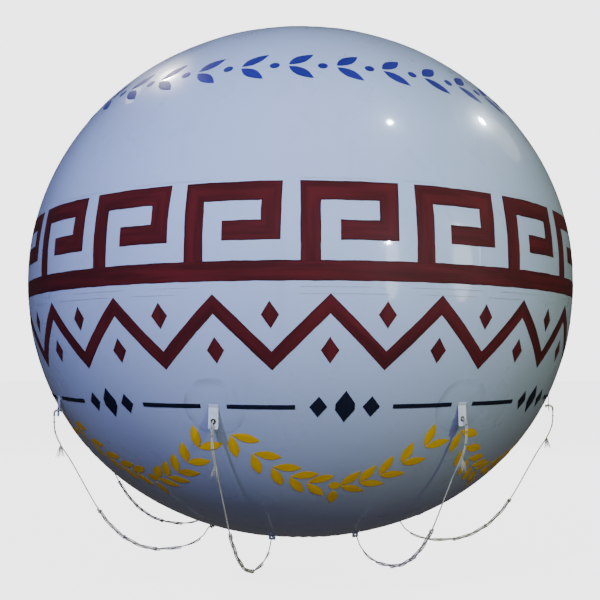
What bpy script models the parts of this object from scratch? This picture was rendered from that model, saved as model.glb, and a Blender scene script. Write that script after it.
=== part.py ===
"""Advertising sky balloon, 3.66 m across: gored envelope, load tabs with eyelets, slack load lines, valve.

Metres, +Z up, origin at the envelope's centre. Azimuth 0 is the front (-Y) and turns towards +X.
"""

import bpy
import bmesh
import math
from mathutils import Matrix, Vector

# Envelope
EQUATOR_RADIUS = 1.83
HALF_HEIGHT = 0.935 * EQUATOR_RADIUS
UPPER_FULLNESS = 2.0
LOWER_FULLNESS = 2.11
SHELL = 0.010
GORES = 16
GORE_STEPS = 3
MERIDIAN_ROWS = 18
END_RADIUS = 0.20
FIRST_SEAM = math.radians(-15.0)
GORE_ANGLE = 2 * math.pi / GORES
ROUND_STEPS = GORES * GORE_STEPS

# Gaps between pieces
GAP = 0.0003
SEAM_RELIEF = GAP / (2 * math.sin(GORE_ANGLE / 2))
PATCH_FLOOR = SEAM_RELIEF + GAP

# Load tabs, on every second seam below the equator
TABS = 8
TAB_ANGLE = 2 * math.pi / TABS
TAB_WELD_Z = -0.418 * EQUATOR_RADIUS
PATCH_RADIUS = 0.16
PATCH_THICKNESS = 0.003
FLAP_WIDTH = 0.052
FLAP_THICKNESS = 0.003
FLAP_TOP_Z = TAB_WELD_Z + 0.010
FLAP_BOTTOM_Z = -0.872
FLAP_CORNER = 0.006
FLAP_CORNER_STEPS = 3
PATCH_STEPS = 28

# Eyelets, each in a round seat that is pressed into both faces of its flap
EYELET_Z = -0.834
EYELET_BORE = 0.0085
EYELET_BARREL = 0.0098
EYELET_FLANGE = 0.0145
EYELET_LIP = 0.0014
EYELET_SEAT = 0.0160
EYELET_SEAT_DEPTH = 0.0003
EYELET_STEPS = 16

# Keeper tabs, low on the belly
KEEPER_RADIUS_AT = 0.676
KEEPER_PATCH_RADIUS = 0.085
KEEPER_WIDTH = 0.044
KEEPER_DROP = 0.028
KEEPER_HOLE = 0.0060

# Load lines: route of one line's middle in its own radial plane, as distance from the axis and height
LINE_DIAMETER = 0.008
LINE_SPACING = 3 * LINE_DIAMETER
LINE_TURN = 0.056
LINE_TURN_POINTS = 6
CURVE_STEPS = 12
LINE_ROUTE = (
    (1.6560, -0.8382),
    (1.6700, -0.8382),
    (1.6840, -0.8440),
    (1.6900, -0.8600),
    (1.6910, -0.9050),
    (1.6820, -0.9700),
    (1.6480, -1.0450),
    (1.5960, -1.1250),
    (1.5450, -1.2150),
    (1.4900, -1.3150),
    (1.4300, -1.4200),
    (1.3600, -1.5200),
    (1.2680, -1.6150),
    (1.1600, -1.6850),
    (1.0550, -1.7220),
    (0.9500, -1.7330),
    (0.8550, -1.7260),
    (0.7800, -1.7040),
    (0.7300, -1.6760),
    (0.7130, -1.6550),
    (0.7000, -1.6370),
    (0.6900, -1.6275),
    (0.6790, -1.6255),
    (0.6640, -1.6255),
)

# Inflation valve under the base
VALVE_BORE = 0.035
VALVE_LAND = 0.085
VALVE_FLANGE = 0.075
VALVE_FLANGE_THICKNESS = 0.006
VALVE_NECK = 0.044
VALVE_NECK_LENGTH = 0.020
VALVE_STEPS = 32
HINGE_Y = 0.060
HINGE_DROP = 0.0285
HINGE_PIN = 0.0030
HINGE_HOLE = 0.0036
HINGE_KNUCKLE = 0.0060
EAR_INSIDE = 0.0140
EAR_THICKNESS = 0.0080
EAR_HALF_DEPTH = 0.0075
EAR_BELOW_PIN = 0.0060
CAP_RADIUS = 0.050
CAP_THICKNESS = 0.005
CAP_SEAT_GAP = 0.0005
CAP_PLUG_RADIUS = 0.028
CAP_PLUG_DEPTH = 0.008
CAP_BRIDGE_REACH = 0.015
CAP_BRIDGE_SIDE_GAP = 0.0015
KNUCKLE_SIDE_GAP = 0.0005
PIN_PROUD = 0.002
PIN_STEPS = 12
KNUCKLE_STEPS = 16

# Edges sharper than this stay sharp when a piece is shaded smooth
SHARP_ANGLE = math.radians(35)

# Cutters reach past what they cut
DISC_CUTTER_DEPTH = 0.12
HOLE_CUTTER_LENGTH = 0.02
SEAT_CUTTER_LENGTH = 0.004
EAR_CUTTER_LENGTH = 0.08

# Finishes: colour, roughness, metallic
FINISHES = {
    "envelope": ((0.42, 0.49, 0.62, 1.0), 0.28, 0.0),
    "patch": ((0.50, 0.56, 0.67, 1.0), 0.35, 0.0),
    "tab": ((0.60, 0.67, 0.78, 1.0), 0.40, 0.0),
    "eyelet": ((0.16, 0.16, 0.17, 1.0), 0.35, 1.0),
    "line": ((0.55, 0.54, 0.50, 1.0), 0.85, 0.0),
    "valve": ((0.62, 0.64, 0.66, 1.0), 0.45, 0.0),
    "valve_cap": ((0.20, 0.21, 0.24, 1.0), 0.45, 0.0),
}


def clear_scene():
    for obj in list(bpy.data.objects):
        bpy.data.objects.remove(obj, do_unlink=True)


def make_collection(name):
    collection = bpy.data.collections.new(name)
    bpy.context.scene.collection.children.link(collection)
    return collection


def make_materials():
    materials = {}
    for name, (colour, roughness, metallic) in FINISHES.items():
        material = bpy.data.materials.new(name)
        material.use_nodes = True
        shader = material.node_tree.nodes["Principled BSDF"]
        shader.inputs["Base Color"].default_value = colour
        shader.inputs["Roughness"].default_value = roughness
        shader.inputs["Metallic"].default_value = metallic
        material.diffuse_color = colour
        materials[name] = material
    return materials


def place(mesh, name, collection, material=None):
    """Makes an object of a mesh, in a collection, with its material."""
    obj = bpy.data.objects.new(name, mesh)
    collection.objects.link(obj)
    if material is not None:
        mesh.materials.clear()
        mesh.materials.append(material)
    return obj


def as_cutter(obj):
    obj.hide_render = True
    obj.display_type = "WIRE"
    return obj


def add_boolean(obj, cutter, operation):
    modifier = obj.modifiers.new(operation.lower(), "BOOLEAN")
    modifier.operation = operation
    modifier.solver = "EXACT"
    modifier.object = cutter


def baked_mesh(obj, name):
    """The object's mesh with its modifiers applied."""
    bpy.context.view_layer.update()
    depsgraph = bpy.context.evaluated_depsgraph_get()
    mesh = bpy.data.meshes.new_from_object(obj.evaluated_get(depsgraph), depsgraph=depsgraph)
    mesh.name = name
    return mesh


def smooth(mesh):
    mesh.shade_smooth()
    mesh.set_sharp_from_angle(angle=SHARP_ANGLE)


def fullness(z_sign):
    return UPPER_FULLNESS if z_sign > 0 else LOWER_FULLNESS


def meridian_point(latitude, offset=0.0):
    """A point of the envelope's outline, as (radius, z), moved outward along the surface by offset."""
    power = fullness(latitude)
    radius = EQUATOR_RADIUS * math.cos(latitude) ** (2 / power)
    z = math.copysign(HALF_HEIGHT * abs(math.sin(latitude)) ** (2 / power), latitude)
    slope_r = (radius / EQUATOR_RADIUS) ** (power - 1) / EQUATOR_RADIUS
    slope_z = (abs(z) / HALF_HEIGHT) ** (power - 1) / HALF_HEIGHT
    normal = Vector((slope_r, math.copysign(slope_z, latitude))).normalized()
    return radius + offset * normal.x, z + offset * normal.y


def latitude_at_radius(radius, below=False):
    power = fullness(-1 if below else 1)
    latitude = math.acos((radius / EQUATOR_RADIUS) ** (power / 2))
    return -latitude if below else latitude


def latitude_at_z(z):
    power = fullness(z)
    return math.copysign(math.asin((abs(z) / HALF_HEIGHT) ** (power / 2)), z)


def gore_latitudes():
    """Latitudes of the gore's rows, from the crown patch down to the base patch."""
    top = latitude_at_radius(END_RADIUS)
    bottom = latitude_at_radius(END_RADIUS, below=True)
    return [top + (bottom - top) * i / MERIDIAN_ROWS for i in range(MERIDIAN_ROWS + 1)]


def turned(name, profile, steps, collection, material=None, closed=True):
    """A full turn of a profile of (radius, z) about +Z. It runs down its outer side."""
    mesh = bpy.data.meshes.new(name)
    points = [(radius, 0.0, z) for radius, z in profile]
    edges = [(i, i + 1) for i in range(len(points) - 1)]
    if closed:
        edges.append((len(points) - 1, 0))
    mesh.from_pydata(points, edges, [])
    obj = place(mesh, name, collection, material)
    screw = obj.modifiers.new("turn", "SCREW")
    screw.axis = "Z"
    screw.angle = 2 * math.pi
    screw.steps = steps
    screw.render_steps = steps
    screw.use_merge_vertices = True
    screw.merge_threshold = 0.00001
    screw.use_smooth_shade = False
    return obj


def box(name, low, high, collection, material=None):
    """A box between two corners."""
    mesh = bpy.data.meshes.new(name)
    bm = bmesh.new()
    bmesh.ops.create_cube(bm, size=1.0)
    size = Vector(high) - Vector(low)
    bmesh.ops.scale(bm, vec=size, verts=bm.verts)
    bmesh.ops.translate(bm, vec=(Vector(high) + Vector(low)) / 2, verts=bm.verts)
    bm.to_mesh(mesh)
    bm.free()
    return place(mesh, name, collection, material)


def cylinder(name, radius, length, segments, matrix, collection, material=None):
    """A cylinder along its local Z, centred, placed by a matrix."""
    mesh = bpy.data.meshes.new(name)
    bm = bmesh.new()
    bmesh.ops.create_cone(
        bm, cap_ends=True, segments=segments, radius1=radius, radius2=radius, depth=length, matrix=matrix
    )
    bm.to_mesh(mesh)
    bm.free()
    return place(mesh, name, collection, material)


def gore_mesh():
    """One gore: a strip of the shell's section, spun about +Z through the angle of a gore."""
    outer = [meridian_point(latitude) for latitude in gore_latitudes()]
    inner = [meridian_point(latitude, -SHELL) for latitude in gore_latitudes()]
    bm = bmesh.new()
    outside = [bm.verts.new((radius, 0.0, z)) for radius, z in outer]
    inside = [bm.verts.new((radius, 0.0, z)) for radius, z in inner]
    for i in range(MERIDIAN_ROWS):
        bm.faces.new((outside[i], outside[i + 1], inside[i + 1], inside[i]))
    bmesh.ops.rotate(bm, verts=bm.verts, cent=(0, 0, 0), matrix=Matrix.Rotation(-GORE_ANGLE / 2, 3, "Z"))
    bmesh.ops.spin(
        bm,
        geom=bm.verts[:] + bm.edges[:] + bm.faces[:],
        cent=(0, 0, 0),
        axis=(0, 0, 1),
        angle=GORE_ANGLE,
        steps=GORE_STEPS,
    )
    bmesh.ops.recalc_face_normals(bm, faces=bm.faces)
    mesh = bpy.data.meshes.new("gore")
    bm.to_mesh(mesh)
    bm.free()
    smooth(mesh)
    return mesh


def azimuth_turn(azimuth):
    """Turn about +Z that brings +X to an azimuth, where azimuth 0 is -Y and grows towards +X."""
    return azimuth - math.pi / 2


def make_gores(collection, materials):
    mesh = gore_mesh()
    for i in range(GORES):
        turn = azimuth_turn(FIRST_SEAM + (i + 0.5) * GORE_ANGLE)
        gore = place(mesh, f"gore_{i + 1:02d}", collection, materials["envelope"])
        gore.rotation_euler.z = turn
        gore.location = (SEAM_RELIEF * math.cos(turn), SEAM_RELIEF * math.sin(turn), 0.0)


def make_crown_patch(collection, materials):
    latitude = latitude_at_radius(END_RADIUS)
    half = (latitude + math.pi / 2) / 2
    outside = [(0.0, HALF_HEIGHT), meridian_point(half), meridian_point(latitude)]
    inside = [meridian_point(latitude, -SHELL), (0.0, HALF_HEIGHT - SHELL)]
    crown = turned("crown_patch", outside + inside, ROUND_STEPS, collection, materials["patch"], closed=False)
    crown.rotation_euler.z = azimuth_turn(FIRST_SEAM)


def make_base_patch(collection, materials):
    """Round patch at the base, flat in its middle, with the valve's hole."""
    latitude = latitude_at_radius(END_RADIUS, below=True)
    profile = [
        meridian_point(latitude),
        (VALVE_LAND, -HALF_HEIGHT),
        (VALVE_BORE, -HALF_HEIGHT),
        (VALVE_BORE, -HALF_HEIGHT + SHELL),
        (VALVE_LAND, -HALF_HEIGHT + SHELL),
        meridian_point(latitude, -SHELL),
    ]
    base = turned("base_patch", profile, ROUND_STEPS, collection, materials["patch"])
    base.rotation_euler.z = azimuth_turn(FIRST_SEAM)


def make_skin_cutter(name, offset, cutters):
    """A closed body of the envelope's faceted outline, grown by offset, whose facets match the gores'."""
    rows = [meridian_point(latitude, offset) for latitude in gore_latitudes()]
    profile = [(0.0, rows[0][1])] + rows + [(0.0, rows[-1][1])]
    return as_cutter(turned(name, profile, ROUND_STEPS, cutters, closed=False))


def surface_frame(latitude):
    """Matrix whose origin lies on the envelope at azimuth +X, with its Z along the outward normal."""
    radius, z = meridian_point(latitude)
    out_radius, out_z = meridian_point(latitude, 1.0)
    normal = Vector((out_radius - radius, 0.0, out_z - z)).normalized()
    turn = normal.to_track_quat("Z", "Y").to_matrix().to_4x4()
    return Matrix.Translation((radius, 0.0, z)) @ turn


def radial_cutter(name, radius, length, middle, z, cutters):
    """A round cutter that lies along the radial direction at azimuth +X."""
    turn = Matrix.Translation((middle, 0.0, z)) @ Matrix.Rotation(math.pi / 2, 4, "Y")
    return as_cutter(cylinder(name, radius, length, EYELET_STEPS, turn, cutters))


def patch_with_flap(
    name, latitude, radius, flap_low, flap_high, hole_z, hole_radius, cutters, skins, seat=False
):
    """Mesh of a round welded patch with a hanging flap, its hole and an eyelet's seats, at azimuth +X."""
    grown_skin, bare_skin = skins
    frame = surface_frame(latitude)
    patch = as_cutter(cylinder(name + "_disc", radius, DISC_CUTTER_DEPTH, PATCH_STEPS, frame, cutters))
    flap = as_cutter(box(name + "_flap", flap_low, flap_high, cutters))
    bm = bmesh.new()
    bm.from_mesh(flap.data)
    lower_corners = [
        edge for edge in bm.edges
        if all(vert.co.z < flap_low[2] + GAP for vert in edge.verts)
        and abs(edge.verts[0].co.y - edge.verts[1].co.y) < GAP
    ]
    bmesh.ops.bevel(
        bm, geom=lower_corners, offset=FLAP_CORNER, segments=FLAP_CORNER_STEPS, profile=0.5, affect="EDGES"
    )
    bm.to_mesh(flap.data)
    bm.free()
    middle = (flap_low[0] + flap_high[0]) / 2
    hole = radial_cutter(name + "_hole", hole_radius, HOLE_CUTTER_LENGTH, middle, hole_z, cutters)
    add_boolean(patch, grown_skin, "INTERSECT")
    add_boolean(patch, flap, "UNION")
    add_boolean(patch, bare_skin, "DIFFERENCE")
    add_boolean(patch, hole, "DIFFERENCE")
    if seat:
        reach = SEAT_CUTTER_LENGTH / 2 - EYELET_SEAT_DEPTH
        for side, face in ((-1, flap_low[0]), (1, flap_high[0])):
            cutter = radial_cutter(
                f"{name}_seat_{side}", EYELET_SEAT, SEAT_CUTTER_LENGTH, face + side * reach, hole_z, cutters
            )
            add_boolean(patch, cutter, "DIFFERENCE")
    mesh = baked_mesh(patch, name)
    smooth(mesh)
    return mesh


def place_around(mesh, prefix, collection, material):
    """Copies of a mesh made at azimuth +X, one on every second seam."""
    for i in range(TABS):
        obj = place(mesh, f"{prefix}_{i + 1}", collection, material)
        obj.rotation_euler.z = azimuth_turn(FIRST_SEAM + i * TAB_ANGLE)


def flap_face_radius():
    """Distance of a load flap's outer face from the axis."""
    return meridian_point(latitude_at_z(TAB_WELD_Z))[0] + PATCH_FLOOR + PATCH_THICKNESS


def make_load_tabs(collection, cutters, materials, skins):
    face = flap_face_radius()
    mesh = patch_with_flap(
        "load_tab",
        latitude_at_z(TAB_WELD_Z),
        PATCH_RADIUS,
        (face - FLAP_THICKNESS, -FLAP_WIDTH / 2, FLAP_BOTTOM_Z),
        (face, FLAP_WIDTH / 2, FLAP_TOP_Z),
        EYELET_Z,
        EYELET_BARREL + GAP,
        cutters,
        skins,
        seat=True,
    )
    place_around(mesh, "load_tab", collection, materials["tab"])


def make_keeper_tabs(collection, cutters, materials, skins):
    latitude = latitude_at_radius(KEEPER_RADIUS_AT, below=True)
    z = meridian_point(latitude)[1]
    mesh = patch_with_flap(
        "keeper_tab",
        latitude,
        KEEPER_PATCH_RADIUS,
        (KEEPER_RADIUS_AT - FLAP_THICKNESS / 2, -KEEPER_WIDTH / 2, z - KEEPER_DROP),
        (KEEPER_RADIUS_AT + FLAP_THICKNESS / 2, KEEPER_WIDTH / 2, z + SHELL),
        LINE_ROUTE[-1][1] + KEEPER_HOLE - LINE_DIAMETER / 2 - GAP,
        KEEPER_HOLE,
        cutters,
        skins,
    )
    place_around(mesh, "keeper_tab", collection, materials["tab"])


def make_eyelets(collection, cutters, materials):
    """Metal eyelets: a barrel through the flap's hole with a flange in the seat on either side."""
    inside = FLAP_THICKNESS / 2 - EYELET_SEAT_DEPTH + GAP
    outside = inside + EYELET_LIP
    profile = [
        (EYELET_BORE, -outside),
        (EYELET_BORE, outside),
        (EYELET_FLANGE, outside),
        (EYELET_FLANGE, inside),
        (EYELET_BARREL, inside),
        (EYELET_BARREL, -inside),
        (EYELET_FLANGE, -inside),
        (EYELET_FLANGE, -outside),
    ]
    ring = as_cutter(turned("eyelet_ring", profile, EYELET_STEPS, cutters))
    mesh = baked_mesh(ring, "eyelet")
    middle = flap_face_radius() - FLAP_THICKNESS / 2
    mesh.transform(Matrix.Translation((middle, 0.0, EYELET_Z)) @ Matrix.Rotation(math.pi / 2, 4, "Y"))
    smooth(mesh)
    place_around(mesh, "eyelet", collection, materials["eyelet"])


def smooth_curve(points):
    """A smooth curve through a route's own points, as (length so far, point) close together."""
    curve = [(0.0, points[0])]
    for i in range(len(points) - 1):
        here = points[i]
        there = points[i + 1]
        before = points[max(i - 1, 0)]
        after = points[min(i + 2, len(points) - 1)]
        for k in range(1, CURVE_STEPS + 1):
            t = k / CURVE_STEPS
            linear = (there - before) * t
            square = (2 * before - 5 * here + 4 * there - after) * t ** 2
            cube = (3 * here - before - 3 * there + after) * t ** 3
            point = (2 * here + linear + square + cube) / 2
            length, last = curve[-1]
            curve.append((length + (point - last).length, point))
    return curve


def point_at(curve, station):
    """The point of a curve at a length along it."""
    for (start, a), (end, b) in zip(curve, curve[1:]):
        if station <= end:
            return a.lerp(b, (station - start) / (end - start))
    return curve[-1][1]


def line_points():
    """The route's points: close together in the tight turns at both ends, evenly spaced between them."""
    route = [Vector((radius, 0.0, z)) for radius, z in LINE_ROUTE]
    fine = smooth_curve(route)
    total = fine[-1][0]
    top_turn = [LINE_TURN * n / LINE_TURN_POINTS for n in range(LINE_TURN_POINTS)]
    run = total - 2 * LINE_TURN
    count = math.ceil(run / LINE_SPACING)
    free_run = [LINE_TURN + run * n / count for n in range(count)]
    end_turn = [total - LINE_TURN + station for station in top_turn] + [total]
    return [point_at(fine, station) for station in top_turn + free_run + end_turn]


def make_load_lines(collection, materials):
    """Slack ropes, each from its eyelet down and back up to its keeper."""
    curve = bpy.data.curves.new("load_line", "CURVE")
    curve.dimensions = "3D"
    curve.bevel_depth = LINE_DIAMETER / 2
    curve.bevel_resolution = 2
    curve.use_fill_caps = True
    curve.resolution_u = 1
    spline = curve.splines.new("POLY")
    points = line_points()
    spline.points.add(len(points) - 1)
    for point, position in zip(spline.points, points):
        point.co = (*position, 1.0)
    for i in range(TABS):
        rope = bpy.data.objects.new(f"load_line_{i + 1}", curve)
        rope.rotation_euler.z = azimuth_turn(FIRST_SEAM + i * TAB_ANGLE)
        collection.objects.link(rope)
    curve.materials.append(materials["line"])


def make_valve_body(collection, cutters, materials):
    """Flange under the base patch, a neck and two ears that hold the cap's pin."""
    top = -HALF_HEIGHT - GAP
    under = top - VALVE_FLANGE_THICKNESS
    lip = under - VALVE_NECK_LENGTH
    profile = [
        (VALVE_BORE, top),
        (VALVE_FLANGE, top),
        (VALVE_FLANGE, under),
        (VALVE_NECK, under),
        (VALVE_NECK, lip),
        (VALVE_BORE, lip),
    ]
    body = turned("valve_body", profile, VALVE_STEPS, collection, materials["valve"])
    pin_z = -HALF_HEIGHT - HINGE_DROP
    for side in (-1, 1):
        inner = side * EAR_INSIDE
        outer = side * (EAR_INSIDE + EAR_THICKNESS)
        ear = box(
            f"ear_{side}",
            (min(inner, outer), HINGE_Y - EAR_HALF_DEPTH, pin_z - EAR_BELOW_PIN),
            (max(inner, outer), HINGE_Y + EAR_HALF_DEPTH, under + VALVE_FLANGE_THICKNESS / 2),
            cutters,
        )
        add_boolean(body, as_cutter(ear), "UNION")
    turn = Matrix.Translation((0.0, HINGE_Y, pin_z)) @ Matrix.Rotation(math.pi / 2, 4, "Y")
    hole = cylinder("ear_hole", HINGE_HOLE, EAR_CUTTER_LENGTH, PIN_STEPS, turn, cutters)
    add_boolean(body, as_cutter(hole), "DIFFERENCE")


def make_valve_cap(collection, cutters, materials):
    """Hinged cap: disc with a plug, a knuckle and the hinge pin. Its origin is on the hinge axis."""
    seat = -HALF_HEIGHT - GAP - VALVE_FLANGE_THICKNESS - VALVE_NECK_LENGTH - CAP_SEAT_GAP
    pin_z = -HALF_HEIGHT - HINGE_DROP
    hinge = Vector((0.0, HINGE_Y, pin_z))
    profile = [
        (0.0, seat + CAP_PLUG_DEPTH),
        (CAP_PLUG_RADIUS, seat + CAP_PLUG_DEPTH),
        (CAP_PLUG_RADIUS, seat),
        (CAP_RADIUS, seat),
        (CAP_RADIUS, seat - CAP_THICKNESS),
        (0.0, seat - CAP_THICKNESS),
    ]
    disc = as_cutter(turned("cap_disc", profile, VALVE_STEPS, cutters, closed=False))
    mesh = baked_mesh(disc, "valve_cap")
    mesh.transform(Matrix.Translation(-hinge))
    cap = place(mesh, "valve_cap", collection, materials["valve_cap"])
    cap.location = hinge
    bridge_half = EAR_INSIDE - CAP_BRIDGE_SIDE_GAP
    bridge = box(
        "cap_bridge",
        (-bridge_half, HINGE_Y - CAP_BRIDGE_REACH, seat - CAP_THICKNESS),
        (bridge_half, HINGE_Y, seat),
        cutters,
    )
    turn = Matrix.Translation(hinge) @ Matrix.Rotation(math.pi / 2, 4, "Y")
    knuckle_length = 2 * (EAR_INSIDE - KNUCKLE_SIDE_GAP)
    pin_length = 2 * (EAR_INSIDE + EAR_THICKNESS + PIN_PROUD)
    knuckle = cylinder("cap_knuckle", HINGE_KNUCKLE, knuckle_length, KNUCKLE_STEPS, turn, cutters)
    pin = cylinder("cap_pin", HINGE_PIN, pin_length, PIN_STEPS, turn, cutters)
    for piece in (bridge, knuckle, pin):
        add_boolean(cap, as_cutter(piece), "UNION")


def main():
    clear_scene()
    balloon = make_collection("sky_balloon")
    cutters = make_collection("cutters")
    materials = make_materials()
    skins = (
        make_skin_cutter("skin_over_patch", PATCH_FLOOR + PATCH_THICKNESS, cutters),
        make_skin_cutter("skin_under_patch", PATCH_FLOOR, cutters),
    )
    make_gores(balloon, materials)
    make_crown_patch(balloon, materials)
    make_base_patch(balloon, materials)
    make_load_tabs(balloon, cutters, materials, skins)
    make_keeper_tabs(balloon, cutters, materials, skins)
    make_eyelets(balloon, cutters, materials)
    make_load_lines(balloon, materials)
    make_valve_body(balloon, cutters, materials)
    make_valve_cap(balloon, cutters, materials)


main()
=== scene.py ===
"""Looks of the 3.66 m advertising sky balloon: fabric gores, painted ornament, load tabs, ropes, valve.

Metres, +Z up, origin at the envelope's centre. Azimuth 0 is the front (-Y) and turns towards +X.
An arc is the length along the envelope's meridian from its equator, positive upwards.
"""

import random
from math import atan2, ceil, cos, pi, radians, sin, sqrt

import bmesh
import bpy
import numpy as np
from mathutils import Matrix, Vector

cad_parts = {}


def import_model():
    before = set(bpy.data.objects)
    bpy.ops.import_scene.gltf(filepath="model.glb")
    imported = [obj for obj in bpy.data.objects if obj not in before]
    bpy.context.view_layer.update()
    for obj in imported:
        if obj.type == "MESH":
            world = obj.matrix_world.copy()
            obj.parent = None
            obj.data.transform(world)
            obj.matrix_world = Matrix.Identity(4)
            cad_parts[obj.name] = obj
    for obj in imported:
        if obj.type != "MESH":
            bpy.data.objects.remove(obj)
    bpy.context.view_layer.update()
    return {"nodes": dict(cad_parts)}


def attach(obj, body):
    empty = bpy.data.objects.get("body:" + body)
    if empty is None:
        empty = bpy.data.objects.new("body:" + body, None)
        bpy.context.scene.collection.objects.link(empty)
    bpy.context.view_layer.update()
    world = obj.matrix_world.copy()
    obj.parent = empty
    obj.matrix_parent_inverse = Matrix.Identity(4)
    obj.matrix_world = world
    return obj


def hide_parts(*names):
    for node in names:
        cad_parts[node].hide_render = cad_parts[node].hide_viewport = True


TURN = 2 * pi

# Envelope, as in the part's source
EQUATOR = 1.83
HALF_HEIGHT = 0.935 * EQUATOR
UPPER_FULLNESS = 2.0
LOWER_FULLNESS = 2.11
OUTLINE_POINTS = 6001
GORES = 16
GORE_ANGLE = TURN / GORES
FIRST_SEAM = radians(-15.0)
END_RADIUS = 0.20

# Fabric
SKIN_COLOUR = (0.37, 0.465, 0.755)
# Heights over which the fabric is tinted darker towards the base: painted shade of the underside, together
# with dust settled there
UNDERSIDE_DUST_AND_SHADE_HEIGHTS = (-1.75, -0.25)
FABRIC_THICKNESS = 0.0015
SHARP_ANGLE = radians(40)
SKIN_COLUMNS = 24
SKIN_ROWS = 112
SKIN_END_RADIUS = 0.185
GORE_BULGE = 0.0030
PUCKER_HEIGHT = 0.0004
PUCKER_LENGTH = 0.115
PUCKER_REACH = 0.045
PLEATS = 48
PLEAT_HEIGHT = 0.0026
PLEAT_FADE = (0.35, 0.95)
SWAY_HEIGHT = 0.0011
END_FLAT = (0.085, 0.26)
SEAM_HALF_WIDTH = 0.015
SEAM_LIFT = 0.0003
END_PATCH_RADIUS = 0.245
END_PATCH_RINGS = 18
END_PATCH_EDGE = 0.004
END_PATCH_LIFT = 0.0018
END_PATCH_STEP = (0.080, 0.110)
CROWN_CENTRE_RADIUS = 0.006
THIN_EDGE = 0.0001

# Load tabs, on every second seam
TABS = 8
TAB_ANGLE = TURN / TABS
TAB_WELD_Z = -0.418 * EQUATOR
PATCH_RADIUS = 0.160
PATCH_RINGS = 22
PATCH_LIFT = 0.0006
PATCH_EDGE = 0.008
STIFFENER_HALF = 0.098
STIFFENER_LIFT = 0.0005
STIFFENER_EDGE = (0, 0.005)
CREASES = 9
CREASE_HEIGHT = 0.0002
FLAP_MIDDLE = 1.6655
FLAP_THICKNESS = 0.0026
FLAP_WIDTH = 0.052
FLAP_BOTTOM_Z = -0.872
FLAP_CORNER = 0.007
FLAP_WELD_LENGTH = 0.016
FLAP_CURL = 0.0022
FLAP_CUP = 0.0007
FLAP_BEVEL = 0.0006
EYELET_Z = -0.834
EYELET_HOLE = 0.0098
EYELET_PROFILE = (
    (0.0085, -0.0022), (0.0085, 0.0022), (0.0089, 0.0029), (0.0098, 0.0032), (0.0116, 0.0031),
    (0.0132, 0.0026), (0.0142, 0.0019), (0.0145, 0.0013), (0.0098, 0.0012), (0.0098, -0.0012),
    (0.0145, -0.0013), (0.0143, -0.0018), (0.0130, -0.0023), (0.0112, -0.0027), (0.0094, -0.0028),
)

# Keeper tabs, low on the belly
KEEPER_RADIUS_AT = 0.676
KEEPER_PATCH_RADIUS = 0.085
KEEPER_WIDTH = 0.044
KEEPER_CORNER = 0.006
KEEPER_DROP = 0.028
KEEPER_WELD_LENGTH = 0.012
KEEPER_HOLE = 0.0062
KEEPER_HOLE_Z = -1.6238

# Load lines: route of one line's middle in its own radial plane, as distance from the axis and height
LINE_DIAMETER = 0.008
LINE_RING_SPACING = 0.003
LINE_LAY_LENGTH = 0.030
LINE_ROUTE = (
    (1.6560, -0.8382),
    (1.6700, -0.8382),
    (1.6840, -0.8440),
    (1.6900, -0.8600),
    (1.6910, -0.9050),
    (1.6820, -0.9700),
    (1.6480, -1.0450),
    (1.5960, -1.1250),
    (1.5450, -1.2150),
    (1.4900, -1.3150),
    (1.4300, -1.4200),
    (1.3600, -1.5200),
    (1.2680, -1.6150),
    (1.1600, -1.6850),
    (1.0550, -1.7220),
    (0.9500, -1.7330),
    (0.8550, -1.7260),
    (0.7800, -1.7040),
    (0.7300, -1.6760),
    (0.7130, -1.6550),
    (0.7000, -1.6370),
    (0.6900, -1.6275),
    (0.6790, -1.6255),
    (0.6640, -1.6255),
)
DIRECTION_REACH = 0.004

# A three-strand rope's section, in shares of its diameter
STRAND_OFFSET = 0.268
STRAND_RADIUS = 0.232
VALLEY_RADIUS = 0.372

# The rope's doubled end, with its angles in degrees, and the fibres at its tip
TAIL_DIAMETER = 0.0072
TAIL_LENGTH = 0.235
TAIL_RINGS = 80
TAIL_DISTANCE = 0.0077
TAIL_FIRST_ANGLE = 17
TAIL_SWING = 73
TAIL_SWING_STATIONS = (0.018, 0.075)
FRAY_FIBRES = 30
FRAY_DIAMETER = 0.0015
FRAY_OUTWARD = (-0.30, 0.45)
FRAY_SIDEWAYS = (-0.55, 0.55)
FRAY_LENGTHS = (0.025, 0.075)
FRAY_DROOPS = (0.003, 0.012)
FRAY_RISE = 0.003
FRAY_ROOT_RADIUS = 0.0022

# The bundle of spare rope, and the twine round it and round the doubled end
BUNDLE_TOP_Z = -1.440
BUNDLE_SPANS = (0.76, 0.64, 0.48)
BUNDLE_RING_SPACING = 0.0038
BUNDLE_TURN_LENGTH = 0.38
BUNDLE_FIRST_ANGLE = 0.4
BUNDLE_SPREAD = (-0.01, 0.02)
BUNDLE_BINDINGS = (0.012, 0.24, BUNDLE_SPANS[-1] - 0.012)
BINDING_STATIONS = (0.048, 0.088, 0.152)
BINDING_SHIFT = 0.004
TWINE_DIAMETER = 0.0016
TWINE_PITCH = TWINE_DIAMETER * 1.05
TWINE_TURNS = (3, 4, 5)
TWINE_STEPS = 14
PAIR_WIDE = (LINE_DIAMETER + TAIL_DIAMETER + TWINE_DIAMETER) / 2
PAIR_NARROW = (LINE_DIAMETER + TWINE_DIAMETER) / 2
BUNDLE_ROUND = LINE_DIAMETER / 2 + TAIL_DIAMETER + TWINE_DIAMETER / 2

# Stopper knots: number in the route, drop below it, size of the loop, thickness
KNOTS = ((0, 0.0, 0.0026, 0.0055), (-1, 0.001, 0.0021, 0.0050))
KNOT_SETBACK = 0.0045
KNOT_STEPS = 48
KNOT_LEAN = radians(75)

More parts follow.
